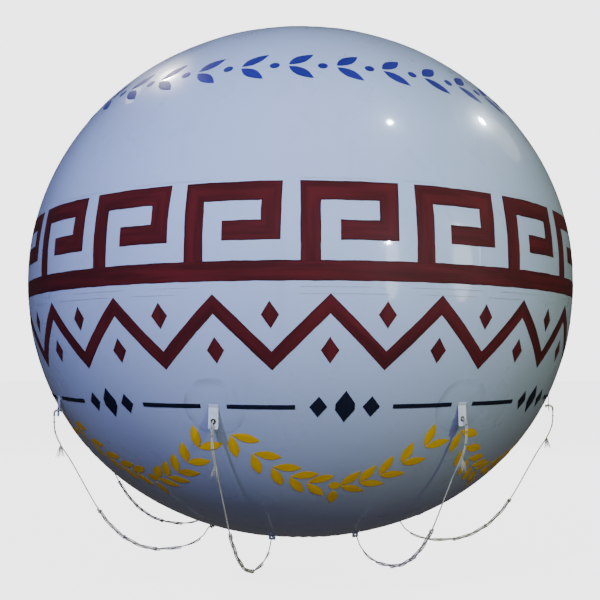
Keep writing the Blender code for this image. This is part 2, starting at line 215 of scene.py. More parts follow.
# Valve, as in the part's source, with its trim
VALVE_BORE = 0.035
VALVE_NECK = 0.044
VALVE_FLANGE_UNDER = -HALF_HEIGHT - 0.0063
VALVE_LIP = VALVE_FLANGE_UNDER - 0.020
CAP_UNDER = VALVE_LIP - 0.0055
CAP_RADIUS = 0.050
BEAD_RADIUS = 0.0022
BEAD_DROP = 0.0065
BEAD_CLEARANCE = 0.0002
SCREWS = 8
SCREW_CIRCLE = 0.060
SCREW_PROFILE = ((0.0002, 0.0), (0.0042, 0.0), (0.0040, -0.0014), (0.0026, -0.0023), (0.0002, -0.0025))
HINGE_HALF_WIDTH = 0.024
RIBS = 48
RIBS_END_Y = 0.0465
RIB_RAISE = 0.0005
RIB_PROFILE = ((0.0001, 0.0), (0.0009, 0.0), (0.0009, 0.0040), (0.0001, 0.0040))
RIM_UNDER = CAP_UNDER - 0.0016
RIM_PROFILE = ((0.036, CAP_UNDER), (0.041, CAP_UNDER), (0.0405, RIM_UNDER), (0.0365, RIM_UNDER))

# Paints: light, dark and rim colour
PAINTS = {
    "blue": ((0.022, 0.024, 0.25), (0.015, 0.016, 0.17), (0.009, 0.011, 0.11)),
    "maroon": ((0.086, 0.012, 0.017), (0.042, 0.009, 0.012), (0.025, 0.006, 0.009)),
    "navy": ((0.009, 0.011, 0.028), (0.006, 0.008, 0.018), (0.003, 0.005, 0.012)),
    "gold": ((0.80, 0.49, 0.007), (0.62, 0.35, 0.005), (0.46, 0.27, 0.005)),
}

# Brush strokes: their rows, and the places and lifts of the points across each row
PAINT_LIFT = 0.0014
PAINT_THICKNESS = 0.0005
PAINT_STEP = 0.036
PAINT_END_ROW = 0.0025
PAINT_ACROSS = np.array((-1.0, -0.90, 0.0, 0.90, 1.0))
PAINT_LIFTS = np.array((0.90, 1.0, 0.98, 1.0, 0.90))
THINNEST = 0.0012

# Painted ornament. Leaves are length and width; lozenges are place sideways, half height and half width
RING_START = pi
RING_GAP = 0.0005
KEY_BAND = (-0.085 * EQUATOR, 0.180 * EQUATOR)
KEY_UNITS = 20
HOOK_OVERLAP = 0.004
ZIGZAG_BAND = (-0.310 * EQUATOR, -0.125 * EQUATOR)
ZIGZAG_UNITS = 20
ZIGZAG_STROKE = 0.068
DIAMOND_SHIFT = 0.62
DIAMOND_HALF_HEIGHT = 0.066
DIAMOND_HALF_WIDTH = 0.045
RULE_Z = -0.415 * EQUATOR
RULE_WIDTH = 0.024
RULE_SPAN = (0.245, 0.585)
RULE_LIFT = 0.0021
LOZENGES = ((0, 0.088, 0.060), (-0.132, 0.058, 0.044), (0.132, 0.058, 0.044))
WREATH_Z = 0.560 * EQUATOR
WREATH_PAIRS = 36
WREATH_LEAF = (0.170, 0.070)
WREATH_LEAF_PLACE = (0.004, 0.064)
WREATH_LEAN = radians(40)
BERRY_SHIFT = 0.118
BERRY_RADIUS = 0.027
FESTOON_HIGH_Z = -0.945
FESTOON_LOW_Z = -1.190
FESTOON_STATIONS = 11
FESTOON_REACH = 0.84
FESTOON_LEAF = (0.145, 0.060)
FESTOON_SPREAD = 0.046
FESTOON_LEAN = radians(36)
KNOB_RADIUS = 0.032
DROP_SHIFT = -0.105
DROP_LEAF = (0.125, 0.056)
GUIDE_LINES = (-0.10 * EQUATOR, -0.118 * EQUATOR, 0.188 * EQUATOR)
GUIDE_LENGTHS = (0.10, 0.55)
GUIDE_GAPS = (0.02, 0.15)

# Camera, set out from the photo's view
CAMERA_PLACE = (0.0, -5.356, -0.501)
CAMERA_PITCH = radians(4.097)
CAMERA_LENS = 45.16
CAMERA_SHIFT = -0.69 / 600

# Lamps for the highlights: place, radius, power, colour
COOL_WHITE = (0.86, 0.93, 1.0)
WARM_WHITE = (1.0, 0.95, 0.84)
LAMPS = (
    ((-2.85, 1.30, 4.85), 0.15, 400, WARM_WHITE),
    ((2.65, -2.90, 5.00), 0.08, 290, COOL_WHITE),
    ((4.20, 0.60, 4.10), 0.11, 250, COOL_WHITE),
    ((3.00, -5.95, 0.95), 0.07, 240, (0.78, 0.84, 1.0)),
    ((5.75, -3.93, 1.77), 0.07, 90, WARM_WHITE),
    ((-1.60, -5.60, 1.15), 0.06, 60, COOL_WHITE),
)

# Panels that light the matt surfaces: name, azimuth, elevation, size, power, colour
KEY_DISTANCE = 8.5
KEYS = (
    ("left_key", -19, 25, (0.22, 0.22), 560, (0.60, 0.65, 1.0)),
    ("front_fill", 2, 12, (4.0, 2.5), 225, (0.70, 0.70, 1.0)),
    ("right_key", 24, 20, (0.3, 0.3), 380, (0.92, 1.0, 0.40)),
    ("back_left_key", -143, 20, (2.0, 2.0), 380, (0.66, 0.69, 1.0)),
    ("back_right_key", 153, 20, (2.0, 2.0), 380, (0.82, 0.82, 0.90)),
    ("under_fill", 180, -80, (3.0, 3.0), 38, (1.0, 0.85, 0.70)),
)

# Panels that the glossy surfaces reflect: name, place, size, power, colour
WINDOWS = (
    ("right_window", (3.12, -5.88, 0.0), (0.55, 2.1), 34, (1.0, 0.98, 0.84)),
    ("far_right_window", (5.25, -3.65, 0.3), (0.8, 2.4), 44, (1.0, 0.99, 0.90)),
    ("left_window", (-3.35, 1.71, 4.20), (1.1, 0.35), 3, (1.0, 0.97, 0.84)),
    ("back_window", (4.4, 1.1, 3.4), (1.6, 1.2), 6, (0.96, 1.0, 0.92)),
)

# Surroundings
BACKDROP = (3.60, 3.60, 3.63)
SURROUNDINGS = (0.070, 0.066, 0.068)
FLOOR_Z = -2.03
FLOOR_RADIUS = 40.0
FLOOR_GLOW = 3.2


def smoothstep(low, high, value):
    t = np.clip((value - low) / (high - low), 0.0, 1.0)
    return t * t * (3 - 2 * t)


def running_total(steps):
    return np.concatenate(([0.0], np.cumsum(steps)))


# The envelope's outline, as a fine table along one meridian
def outline_table():
    """Arc, radius and height along the meridian, from the base to the crown."""
    latitude = np.linspace(-pi / 2, pi / 2, OUTLINE_POINTS)
    power = np.where(latitude > 0, UPPER_FULLNESS, LOWER_FULLNESS)
    radius = EQUATOR * np.abs(np.cos(latitude)) ** (2 / power)
    height = np.sign(latitude) * HALF_HEIGHT * np.abs(np.sin(latitude)) ** (2 / power)
    arc = running_total(np.hypot(np.diff(radius), np.diff(height)))
    return arc - np.interp(0.0, height, arc), radius, height


ARCS, RADII, HEIGHTS = outline_table()


def arc_at_z(z):
    return float(np.interp(z, HEIGHTS, ARCS))


def arc_at_radius(radius, below):
    half = HEIGHTS < 0 if below else HEIGHTS >= 0
    order = np.argsort(RADII[half])
    return float(np.interp(radius, RADII[half][order], ARCS[half][order]))


def arcs_between_ends(end_radius):
    """Arcs of rows from near the crown to near the base, both at one distance from the axis."""
    top = arc_at_radius(end_radius, below=False)
    bottom = arc_at_radius(end_radius, below=True)
    return np.linspace(top, bottom, SKIN_ROWS + 1)[:, None]


def radius_at(arc):
    return np.interp(arc, ARCS, RADII)


def height_at(arc):
    return np.interp(arc, ARCS, HEIGHTS)


def fabric_stand(azimuth, arc, radius):
    """How far the fabric stands off its even outline.

    It is full between seams, puckered on them and pleated at the ends.
    """
    across = ((azimuth - FIRST_SEAM) / GORE_ANGLE) % 1.0
    from_seam = np.minimum(across, 1 - across) * GORE_ANGLE * radius
    belly = GORE_BULGE * radius / EQUATOR * (-0.1 - 0.5 * np.cos(TURN * across))
    waves = np.sin(TURN * arc / PUCKER_LENGTH + 1.7 * np.sin(3.1 * arc))
    puckers = PUCKER_HEIGHT * np.exp(-((from_seam / PUCKER_REACH) ** 2)) * waves
    gathers = (1 - smoothstep(*PLEAT_FADE, radius)) * (0.75 + 0.25 * np.sin(5 * azimuth))
    pleats = PLEAT_HEIGHT * gathers * np.sin(PLEATS * (azimuth - FIRST_SEAM))
    sway = SWAY_HEIGHT * np.sin(2.7 * arc + 3 * azimuth) * np.sin(4 * azimuth + 1.0)
    return (belly + puckers + pleats + sway) * smoothstep(*END_FLAT, radius)


def on_skin(azimuth, arc, lift=0.0):
    """Points on the fabric, as an array with x, y, z last, moved outward by lift."""
    azimuth, arc, lift = np.broadcast_arrays(azimuth, arc, lift)
    radius = radius_at(arc)
    height = height_at(arc)
    power = np.where(height > 0, UPPER_FULLNESS, LOWER_FULLNESS)
    slope_r = (radius / EQUATOR) ** (power - 1) / EQUATOR
    slope_z = np.sign(height) * (np.abs(height) / HALF_HEIGHT) ** (power - 1) / HALF_HEIGHT
    size = np.hypot(slope_r, slope_z)
    stand = lift + fabric_stand(azimuth, arc, radius)
    radius = radius + stand * slope_r / size
    height = height + stand * slope_z / size
    return np.stack((radius * np.sin(azimuth), -radius * np.cos(azimuth), height), axis=-1)


def seam_azimuth(i):
    return FIRST_SEAM + i * GORE_ANGLE


def tab_azimuth(i):
    return FIRST_SEAM + i * TAB_ANGLE


def in_plane(azimuth, radius, z, sideways=0.0):
    """A point of a radial plane, given by distance from the axis and height, moved sideways."""
    x = radius * sin(azimuth) + sideways * cos(azimuth)
    y = -radius * cos(azimuth) + sideways * sin(azimuth)
    return Vector((x, y, z))


def on_circle(radius, turn, z):
    return Vector((radius * cos(turn), radius * sin(turn), z))


# Meshes and objects
def set_up(thing, **settings):
    """Sets several properties of a thing."""
    for key, value in settings.items():
        setattr(thing, key, value)
    return thing


def add_object(name, data):
    obj = bpy.data.objects.new(name, data)
    bpy.context.scene.collection.objects.link(obj)
    return obj


def grid_faces(rows, columns, closed=False):
    """Faces of a grid of points stored row by row. A closed grid joins its last column to its first."""
    faces = []
    for r in range(rows - 1):
        for c in range(columns if closed else columns - 1):
            a = r * columns + c
            b = r * columns + (c + 1) % columns
            faces.append((a, b, b + columns, a + columns))
    return faces


def flipped(faces):
    return [face[::-1] for face in faces]


def lathe(profile, steps, matrix=Matrix.Identity(4)):
    """Points and faces of a closed profile of (radius, height), turned about its axis and placed."""
    points = []
    for k in range(steps):
        for radius, height in profile:
            points.append(matrix @ on_circle(radius, TURN * k / steps, height))
    faces = grid_faces(steps + 1, len(profile), closed=True)
    return points, [tuple(i % len(points) for i in face) for face in faces]


def make_piece(name, points, faces, material, body="balloon", slot=None):
    mesh = bpy.data.meshes.new(name)
    mesh.from_pydata([tuple(map(float, p)) for p in points], [], faces)
    mesh.materials.append(material)
    mesh.shade_smooth()
    obj = add_object(name, mesh)
    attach(obj, body)
    return obj


def apply_modifiers(obj):
    """Bakes an object's modifiers into its mesh and keeps its sharp edges crisp."""
    bpy.context.view_layer.update()
    depsgraph = bpy.context.evaluated_depsgraph_get()
    mesh = bpy.data.meshes.new_from_object(obj.evaluated_get(depsgraph), depsgraph=depsgraph)
    obj.modifiers.clear()
    obj.data = mesh
    mesh.set_sharp_from_angle(angle=SHARP_ANGLE)


def thicken(obj, thickness):
    """Gives a sheet its thickness, on its inner side."""
    set_up(obj.modifiers.new("thickness", "SOLIDIFY"), thickness=thickness, offset=-1.0)
    apply_modifiers(obj)


class Shape:
    """Points and faces that are gathered into one piece."""

    def __init__(self):
        self.points = []
        self.faces = []

    def add(self, points, faces):
        start = len(self.points)
        self.points.extend(points)
        self.faces.extend(tuple(start + i for i in face) for face in faces)

    def piece(self, name, material, body="balloon", slot=None):
        return make_piece(name, self.points, self.faces, material, body, slot)


# Materials
def fill(node, sockets):
    """Gives a node its inputs, each as a value or as the output that feeds it."""
    for key, value in sockets.items():
        if isinstance(value, bpy.types.NodeSocket):
            node.id_data.links.new(value, node.inputs[key])
        else:
            node.inputs[key].default_value = value


def scaled(colour, share):
    return tuple(share * c for c in colour)


class Look:
    """A material that is put together around its Principled shader."""

    def __init__(self, name, colour, roughness, metallic=0.0, coat=0.0, coat_roughness=0.1, specular=0.5):
        self.colour = (*colour, 1.0)
        self.material = set_up(bpy.data.materials.new(name), use_nodes=True, diffuse_color=self.colour)
        self.tree = self.material.node_tree
        self.shader = self.tree.nodes["Principled BSDF"]
        fill(self.shader, {
            "Base Color": self.colour,
            "Roughness": roughness,
            "Metallic": metallic,
            "Coat Weight": coat,
            "Coat Roughness": coat_roughness,
            "Specular IOR Level": specular,
        })
        self.place = self.node("ShaderNodeTexCoord", {}).outputs["Object"]
        self.normal = None

    def node(self, kind, sockets, **settings):
        node = set_up(self.tree.nodes.new(kind), **settings)
        fill(node, sockets)
        return node

    def attribute(self, name):
        return self.node("ShaderNodeAttribute", {}, attribute_name=name)

    def z_of(self, source):
        return self.node("ShaderNodeSeparateXYZ", {"Vector": source}).outputs["Z"]

    def stretched(self, scale, source=None):
        sockets = {"Scale": scale, "Vector": source or self.place}
        return self.node("ShaderNodeMapping", sockets).outputs["Vector"]

    def noise(self, scale, detail, source=None, distortion=0.0):
        sockets = {"Scale": scale, "Detail": detail, "Distortion": distortion, "Vector": source or self.place}
        return self.node("ShaderNodeTexNoise", sockets).outputs["Fac"]

    def remap(self, source, low, high, out_low, out_high):
        sockets = {"Value": source, "From Min": low, "From Max": high, "To Min": out_low, "To Max": out_high}
        return self.node("ShaderNodeMapRange", sockets, clamp=True).outputs["Result"]

    def tint(self, factor, colour):
        """Mixes a colour over what the base colour is so far."""
        base = self.shader.inputs["Base Color"]
        so_far = base.links[0].from_socket if base.is_linked else self.colour
        sockets = {"Factor": factor, "A": so_far, "B": (*colour, 1.0)}
        mix = self.node("ShaderNodeMix", sockets, data_type="RGBA")
        fill(self.shader, {"Base Color": mix.outputs["Result"]})

    def stain(self, source, low, high, strength, colour):
        """Tints with a colour where a source goes from low to high."""
        self.tint(self.remap(source, low, high, 0.0, strength), colour)

    def roughen(self, noise, low, high):
        """Lets the roughness follow a noise between two values."""
        fill(self.shader, {"Roughness": self.remap(noise, 0.3, 0.7, low, high)})

    def bump(self, height, distance, strength):
        """Adds fine relief to what relief there is so far."""
        sockets = {"Strength": strength, "Distance": distance, "Height": height}
        if self.normal is not None:
            sockets["Normal"] = self.normal
        self.normal = self.node("ShaderNodeBump", sockets).outputs["Normal"]
        fill(self.shader, {"Normal": self.normal})


def fabric_look(name, colour, roughness=0.30, edge_dirt=0.0):
    """Glossy coated fabric: faint clouding, smudges, run marks, and a soft unevenness under the gloss.

    edge_dirt is how much dirt gathers, in patches, where the attribute edge nears 1.
    """
    look = Look(name, colour, roughness, coat=0.55, coat_roughness=0.08, specular=0.22)
    clouds = look.noise(0.9, 4)
    smudges = look.noise(7.0, 6, distortion=0.6)
    runs = look.noise(1.0, 4, look.stretched((9.0, 9.0, 0.7)))
    scuffs = look.noise(1.0, 5, look.stretched((3.0, 3.0, 60.0)))
    look.stain(clouds, 0.35, 0.70, 0.30, scaled(colour, 0.86))
    look.stain(smudges, 0.58, 0.80, 0.10, (0.26, 0.30, 0.40))
    look.stain(runs, 0.60, 0.80, 0.18, (0.27, 0.30, 0.40))
    look.stain(scuffs, 0.72, 0.82, 0.22, (0.26, 0.31, 0.46))
    # Darker towards the base: painted shade of the underside, together with settled dust
    look.tint(look.remap(look.z_of(look.place), *UNDERSIDE_DUST_AND_SHADE_HEIGHTS, 0.50, 0.0), (0.16, 0.17, 0.21))
    if edge_dirt:
        near = look.remap(look.attribute("edge").outputs["Fac"], 0.72, 0.98, 0.0, edge_dirt)
        places = look.remap(look.noise(6.0, 4), 0.48, 0.62, 0.12, 1.0)
        dirt = look.node("ShaderNodeMath", {0: near, 1: places}, operation="MULTIPLY")
        look.tint(dirt.outputs["Value"], (0.20, 0.24, 0.32))
    look.roughen(look.noise(5.0, 5), roughness - 0.05, roughness + 0.07)
    look.bump(look.noise(3.2, 2), 0.004, 0.35)
    look.bump(look.noise(420.0, 2), 0.0002, 0.20)
    return look


def paint_look(name, light, dark, rim):
    """Hand brushed enamel: broad overlapping passes, fine bristle marks along the stroke, a darker rim."""
    look = Look(name, light, 0.44, specular=0.09)
    stroke = look.attribute("stroke").outputs["Vector"]
    passes = look.noise(1.0, 2, look.stretched((2.2, 26.0, 0.0), stroke))
    bristles = look.noise(1.0, 3, look.stretched((7.0, 420.0, 0.0), stroke))
    look.stain(passes, 0.40, 0.62, 0.85, dark)
    look.stain(look.noise(2.3, 3), 0.35, 0.65, 0.5, dark)
    look.stain(bristles, 0.52, 0.75, 0.35, dark)
    look.stain(look.z_of(stroke), 0.80, 1.0, 0.75, rim)
    look.roughen(bristles, 0.38, 0.52)
    look.bump(bristles, 0.0006, 0.25)
    return look


def make_materials():
    looks = {
        "fabric": fabric_look("coated_fabric", SKIN_COLOUR),
        "seam": fabric_look("seam_tape", SKIN_COLOUR, 0.31),
        "patch": fabric_look("patch_fabric", scaled(SKIN_COLOUR, 1.01), 0.31, edge_dirt=0.55),
    }

    tab = looks["tab"] = Look("tab_fabric", (0.54, 0.61, 0.78), 0.42, coat=0.1)
    weave = tab.noise(1.0, 2, tab.stretched((520.0, 520.0, 300.0)))
    tab.stain(weave, 0.5, 0.8, 0.25, (0.40, 0.46, 0.60))
    tab.stain(tab.noise(55.0, 4), 0.52, 0.75, 0.45, (0.36, 0.38, 0.42))
    tab.bump(weave, 0.0004, 0.6)
    tab.bump(tab.noise(40.0, 2), 0.0015, 0.4)

    metal = looks["metal"] = Look("dark_metal", (0.13, 0.12, 0.115), 0.38, metallic=1.0)
    metal.stain(metal.noise(260.0, 4), 0.45, 0.70, 0.8, (0.30, 0.27, 0.23))
    metal.roughen(metal.noise(180.0, 3), 0.28, 0.55)
    metal.bump(metal.noise(500.0, 2), 0.0002, 0.5)

    rope = looks["rope"] = Look("twisted_rope", (0.44, 0.44, 0.42), 0.85)
    fibres = rope.noise(900.0, 3)
    rope.stain(fibres, 0.45, 0.75, 0.6, (0.29, 0.29, 0.28))
    rope.stain(rope.noise(14.0, 4), 0.45, 0.70, 0.65, (0.23, 0.23, 0.23))
    rope.bump(fibres, 0.0006, 0.8)

    twine = looks["twine"] = Look("binding_twine", (0.16, 0.16, 0.17), 0.8)
    threads = twine.noise(1500.0, 2)
    twine.stain(threads, 0.45, 0.75, 0.5, (0.32, 0.32, 0.32))
    twine.bump(threads, 0.0003, 0.7)

    for name, colour in (("valve", (0.60, 0.62, 0.64)), ("valve_cap", (0.10, 0.11, 0.13))):
        plastic = looks[name] = Look(name + "_plastic", colour, 0.42, coat=0.1)
        grain = plastic.noise(700.0, 3)
        plastic.stain(plastic.noise(45.0, 4), 0.5, 0.75, 0.4, scaled(colour, 0.7))
        plastic.roughen(grain, 0.36, 0.52)
        plastic.bump(grain, 0.00025, 0.5)

    for name, colours in PAINTS.items():
        looks[name] = paint_look(name + "_paint", *colours)

    guide = looks["guide"] = Look("guide_line", (0.30, 0.36, 0.50), 0.6)
    guide.stain(guide.noise(60.0, 3), 0.4, 0.7, 0.8, (0.42, 0.48, 0.62))
    return {name: look.material for name, look in looks.items()}


# Ropes
def smooth_curve(points, steps=12):
    """A smooth curve through a route's own points, close together."""
    curve = [points[0]]
    for i in range(len(points) - 1):
        here = points[i]
        there = points[i + 1]
        before = points[max(i - 1, 0)]
        after = points[min(i + 2, len(points) - 1)]
        for k in range(1, steps + 1):
            t = k / steps
            linear = (there - before) * t
            square = (2 * before - 5 * here + 4 * there - after) * t ** 2
            cube = (3 * here - before - 3 * there + after) * t ** 3
            curve.append((2 * here + linear + square + cube) / 2)
    return np.array(curve)


class Route:
    """A load line's middle in its radial plane, read by the length along it."""

    def __init__(self):
        self.curve = smooth_curve(np.array(LINE_ROUTE))
        self.stations = running_total(np.hypot(*np.diff(self.curve, axis=0).T))
        self.length = self.stations[-1]

    def place(self, station):
        """Radius and height at a station."""
        return np.array([np.interp(station, self.stations, self.curve[:, k]) for k in (0, 1)])

    def normal(self, station):
        """The unit normal at a station, on the outer side."""
        along = self.place(station + DIRECTION_REACH) - self.place(station - DIRECTION_REACH)
        along /= np.linalg.norm(along)
        return np.array((-along[1], along[0]))

    def station_at_z(self, z):
        """The first station, going down, at a height."""
        return float(self.stations[np.argmax(self.curve[:, 1] <= z)])


def rope_section(diameter):
    """Radii and angles of a three-strand rope's outline."""
    offset = STRAND_OFFSET * diameter
    strand = STRAND_RADIUS * diameter
    angles = np.radians(np.arange(0, 360, 20))
    from_strand = (angles + pi / 3) % (TURN / 3) - pi / 3
    inside = np.maximum(strand ** 2 - (offset * np.sin(from_strand)) ** 2, 0.0)
    radii = np.maximum(offset * np.cos(from_strand) + np.sqrt(inside), VALLEY_RADIUS * diameter)
    return radii, angles


def round_section(diameter, sides):
    angles = np.arange(sides) * 2 * pi / sides
    return np.full(sides, diameter / 2), angles


def tube(path, radii, angles, twist_length=None):
    """A tube along a 3-D path, whose section turns once in each twist length. Its ends are closed."""
    path = np.array(path, float)
    stations = running_total(np.linalg.norm(np.diff(path, axis=0), axis=1))
    along = np.gradient(path, axis=0)
    along /= np.linalg.norm(along, axis=1)[:, None]
    side = np.cross(along[0], (0.3, 0.5, 0.81))
    side /= np.linalg.norm(side)
    points = []
    for place, forward, station in zip(path, along, stations):
        side = side - forward * (side @ forward)
        side /= np.linalg.norm(side)
        up = np.cross(forward, side)
        turn = 0.0 if twist_length is None else TURN * station / twist_length
        for radius, angle in zip(radii, angles):
            points.append(place + radius * (cos(angle + turn) * side + sin(angle + turn) * up))
    count = len(radii)
    faces = grid_faces(len(path), count, closed=True)
    faces.append(tuple(reversed(range(count))))
    faces.append(tuple(range(len(points) - count, len(points))))
    return points, faces


def rope_along(shape, path, diameter):
    shape.add(*tube(path, *rope_section(diameter), twist_length=LINE_LAY_LENGTH))


def knot(shape, centre, size, diameter, tilt):
    """A pulled-up stopper knot: a tube along a trefoil."""
    turn = Matrix.Rotation(tilt, 3, "Z") @ Matrix.Rotation(KNOT_LEAN, 3, "Y")
    path = []
    for k in range(KNOT_STEPS + 1):
        t = TURN * k / KNOT_STEPS
        x = sin(t) + 2 * sin(2 * t)
        y = cos(t) - 2 * cos(2 * t)
        z = -1.5 * sin(3 * t)
        path.append(centre + turn @ (Vector((x, y, z)) * size))
    rope_along(shape, path, diameter)


class LoadLine:
    """One rope with its doubled end, bindings, bundle and knots, in the radial plane of a tab."""

    def __init__(self, number, route, looks):
        self.number = number
        self.route = route
        self.looks = looks
        self.azimuth = tab_azimuth(number - 1)
        self.outward = in_plane(self.azimuth, 1.0, 0.0)
        self.sideways = in_plane(self.azimuth, 0.0, 0.0, 1.0)
        self.bundle_start = route.station_at_z(BUNDLE_TOP_Z)
        self.random = random.Random(100 + number)

    def point(self, station, distance=0.0, angle=0.0):
        """A point of the rope's middle, or beside it.

        Angle 0 is on its outer side, 90 degrees towards +azimuth.
        """
        radius, z = self.route.place(station) + self.route.normal(station) * distance * cos(angle)
        return in_plane(self.azimuth, radius, z, distance * sin(angle))

    def piece(self, shape, ending="", look="rope"):
        return shape.piece(f"rope_{self.number}{ending}", self.looks[look], slot="line")

    def make(self):
        stations = np.linspace(0.0, self.route.length, round(self.route.length / LINE_RING_SPACING))
        path = [self.point(s) for s in stations]
        shape = Shape()
        rope_along(shape, path, LINE_DIAMETER)
        rope = self.piece(shape)
        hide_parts(f"load_line_{self.number}")
        pieces = [self.doubled_end(), self.bindings(), self.bundle(), self.knots()]

    def tail_angle(self, station):
        """Where the doubled end lies round the rope: it swings to the side below the eyelet."""
        swing = TAIL_SWING * float(smoothstep(*TAIL_SWING_STATIONS, station))
        return radians(TAIL_FIRST_ANGLE + swing)

    def across(self, outward, sideways):
        return self.outward * outward + self.sideways * sideways

    def doubled_end(self):
        """The rope's own end, brought back through the eyelet and laid beside it, with frayed fibres."""
        stations = np.linspace(0.0, TAIL_LENGTH, TAIL_RINGS)
        path = [self.point(s, TAIL_DISTANCE, self.tail_angle(s)) for s in stations]
        shape = Shape()
        rope_along(shape, path, TAIL_DIAMETER)
        draw = self.random.uniform
        for _ in range(FRAY_FIBRES):
            spread = self.across(draw(*FRAY_OUTWARD), draw(*FRAY_SIDEWAYS))
            direction = (spread + Vector((0, 0, -1.0))).normalized()
            length = draw(*FRAY_LENGTHS)
            droop = draw(*FRAY_DROOPS)
            root = path[-1] + self.across(draw(-1, 1), draw(-1, 1)) * FRAY_ROOT_RADIUS
            fibre = []
            for t in np.linspace(0.0, 1.0, 6):
                drop = Vector((0, 0, -droop * t * t + FRAY_RISE * (1 - t)))
                fibre.append(root + direction * length * t + drop)
            shape.add(*tube(fibre, *round_section(FRAY_DIAMETER, 4)))
        return self.piece(shape, "_doubled_end")

    def bindings(self):
        """Twine wound tight round both strands at three places, and three times round the bundle."""
        shape = Shape()
        wraps = [(s + self.random.uniform(-BINDING_SHIFT, BINDING_SHIFT), True) for s in BINDING_STATIONS]
        wraps += [(self.bundle_start + along, False) for along in BUNDLE_BINDINGS]
        for middle, pair in wraps:
            turns = self.random.choice(TWINE_TURNS)
            path = []
            for k in range(turns * TWINE_STEPS + 1):
                turn = TURN * k / TWINE_STEPS
                station = middle + (k / TWINE_STEPS - turns / 2) * TWINE_PITCH
                if pair:
                    centre = self.point(station, TAIL_DISTANCE / 2, self.tail_angle(station))
                    wide, narrow = PAIR_WIDE, PAIR_NARROW
                else:
                    centre = self.point(station)
                    wide = narrow = BUNDLE_ROUND
                out = in_plane(self.azimuth, *self.route.normal(station))
                path.append(centre + self.sideways * wide * sin(turn) + out * narrow * cos(turn))
            shape.add(*tube(path, *round_section(TWINE_DIAMETER, 6)))
        return self.piece(shape, "_bindings", "twine")

    def bundle(self):
        """Spare length of the rope, wound slowly round it near the low point and bound there."""
        start = self.bundle_start
        shape = Shape()
        for k, span in enumerate(BUNDLE_SPANS):
            first_angle = BUNDLE_FIRST_ANGLE + TURN * k / len(BUNDLE_SPANS)
            reach = self.random.uniform(*BUNDLE_SPREAD)
            path = []
            for s in np.linspace(start - reach, start + span + reach, round(span / BUNDLE_RING_SPACING)):
                turn = first_angle + TURN * (s - start) / BUNDLE_TURN_LENGTH
                path.append(self.point(s, TAIL_DISTANCE, turn))
            rope_along(shape, path, TAIL_DIAMETER)
        return self.piece(shape, "_bundle")

    def knots(self):
        """Stopper knots behind the load flap and behind the keeper."""
        shape = Shape()
        for number, drop, size, diameter in KNOTS:
            radius, z = LINE_ROUTE[number]
            centre = in_plane(self.azimuth, radius - KNOT_SETBACK, z - drop)
            knot(shape, centre, size, diameter, self.azimuth)
        return self.piece(shape, "_knots")


# Envelope
def make_gores(looks):
    arcs = arcs_between_ends(SKIN_END_RADIUS)
    faces = flipped(grid_faces(SKIN_ROWS + 1, SKIN_COLUMNS + 1))
    for i in range(GORES):
        azimuths = np.linspace(seam_azimuth(i), seam_azimuth(i + 1), SKIN_COLUMNS + 1)
        points = on_skin(azimuths[None, :], arcs).reshape(-1, 3)
        skin = make_piece(f"gore_skin_{i + 1:02d}", points, faces, looks["fabric"], slot="envelope")
        thicken(skin, FABRIC_THICKNESS)
        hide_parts(f"gore_{i + 1:02d}")


def make_seams(looks):
    """Welded seam tapes over the joins between gores."""
    arcs = arcs_between_ends(END_RADIUS)
    across = np.array((-1.0, -0.80, -0.50, 0.0, 0.50, 0.80, 1.0)) * SEAM_HALF_WIDTH
    lifts = np.array((0.0, 0.55, 0.95, 1.0, 0.95, 0.55, 0.0)) * SEAM_LIFT
    faces = flipped(grid_faces(SKIN_ROWS + 1, len(across)))
    for i in range(GORES):
        azimuths = seam_azimuth(i) + across[None, :] / radius_at(arcs)
        points = on_skin(azimuths, arcs, lifts[None, :]).reshape(-1, 3)
        tape = make_piece(f"seam_tape_{i + 1:02d}", points, faces, looks["seam"], slot="envelope")
        thicken(tape, SEAM_LIFT)


def make_end_patch(name, below, inner, looks, node):
    """A round patch over the gores' ends, from an inner radius out to its thin edge."""
    radii = np.linspace(inner, END_PATCH_RADIUS - END_PATCH_EDGE, END_PATCH_RINGS)
    radii = np.append(radii, END_PATCH_RADIUS)
    arcs = np.array([arc_at_radius(radius, below) for radius in radii])[:, None]
    lifts = END_PATCH_LIFT * smoothstep(*END_PATCH_STEP, radii)
    lifts[-1] = THIN_EDGE
    columns = SKIN_COLUMNS * GORES
    azimuths = FIRST_SEAM + np.arange(columns)[None, :] * 2 * pi / columns
    points = on_skin(azimuths, arcs, lifts[:, None]).reshape(-1, 3)
    faces = grid_faces(len(radii), columns, closed=True)
    if not below:
        faces.append(tuple(reversed(range(columns))))
        faces = flipped(faces)
    patch = make_piece(name, points, faces, looks["patch"], slot="patch")
    thicken(patch, FABRIC_THICKNESS)
    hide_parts(node)


# Tabs
def stiffener(x, y):
    """A square stiffener under the patch shows as a raised field, with a few radial creases."""
    across = smoothstep(*STIFFENER_EDGE, STIFFENER_HALF - np.abs(x))
    upward = smoothstep(*STIFFENER_EDGE, STIFFENER_HALF - np.abs(y))
    creases = np.sin(CREASES * np.arctan2(y, x) + 1.1) * smoothstep(0.03, 0.12, np.hypot(x, y))
    return STIFFENER_LIFT * (across * upward) + creases * CREASE_HEIGHT


